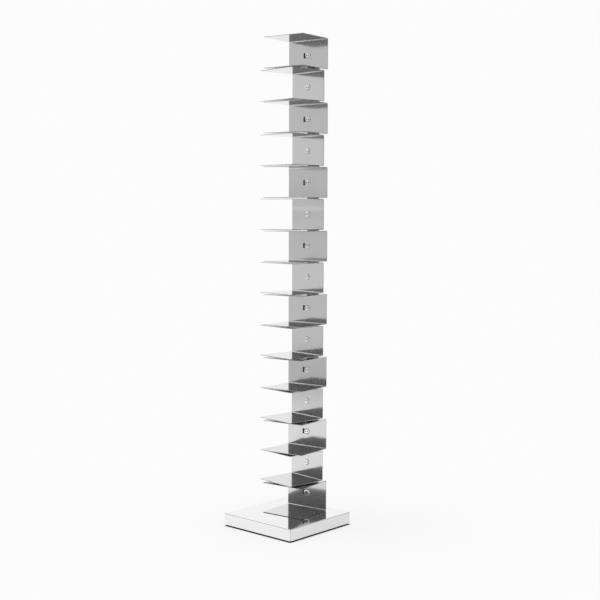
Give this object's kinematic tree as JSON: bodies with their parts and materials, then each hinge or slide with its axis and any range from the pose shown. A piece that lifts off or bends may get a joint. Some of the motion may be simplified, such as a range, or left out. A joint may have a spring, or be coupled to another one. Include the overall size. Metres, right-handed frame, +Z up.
{
  "type": "spine bookshelf",
  "caption": "Tall free-standing spine bookshelf: bent sheet-steel trays, turned alternately left and right, bolted to a slim hidden post on a heavy polished square base.",
  "frame": {"origin": "on the floor, under the centre of the square base", "axes": "+Z up; the trays open towards -Y and the post stands behind them, towards +Y; +X is to the right of someone who faces the open side"},
  "size_m": [0.35, 0.35, 1.906],
  "materials": {
    "brushed_steel": "fine horizontal brush, slightly cloudy reflections",
    "mirror_steel": "mirror polish",
    "polished_steel": "polished domed heads",
    "satin_steel": "satin, brushed along the post",
    "blackened_steel": "thin matt black paint",
    "zinc_steel": "bright zinc plate",
    "black_plastic": "fine moulded grain",
    "foot_rubber": "matt rubber"
  },
  "bodies": {
    "root": {"base_cover": "mirror_steel", "ballast_plate": "blackened_steel", "foot_front_left": "foot_rubber", "foot_front_right": "foot_rubber", "foot_rear_right": "foot_rubber", "foot_rear_left": "foot_rubber", "foot_screws": "zinc_steel", "cover_studs": "zinc_steel", "cover_spacers": "zinc_steel", "cover_nuts": "zinc_steel", "spine_post": "satin_steel", "spine_foot_plate": "blackened_steel", "spine_cap": "black_plastic", "anchor_screws": "zinc_steel", "anchor_washers": "zinc_steel", "wedge_01": "black_plastic", "wedge_02": "black_plastic", "wedge_03": "black_plastic", "wedge_04": "black_plastic", "wedge_05": "black_plastic", "wedge_06": "black_plastic", "wedge_07": "black_plastic", "wedge_08": "black_plastic", "wedge_09": "black_plastic", "wedge_10": "black_plastic", "wedge_11": "black_plastic", "wedge_12": "black_plastic", "wedge_13": "black_plastic", "wedge_14": "black_plastic", "wedge_15": "black_plastic", "tray_01": "brushed_steel", "tray_02": "brushed_steel", "tray_03": "brushed_steel", "tray_04": "brushed_steel", "tray_05": "brushed_steel", "tray_06": "brushed_steel", "tray_07": "brushed_steel", "tray_08": "brushed_steel", "tray_09": "brushed_steel", "tray_10": "brushed_steel", "tray_11": "brushed_steel", "tray_12": "brushed_steel", "tray_13": "brushed_steel", "tray_14": "brushed_steel", "tray_15": "brushed_steel", "tray_bolts": "polished_steel", "tray_nuts": "zinc_steel", "wedge_screws": "zinc_steel"}
  },
  "joints": []
}
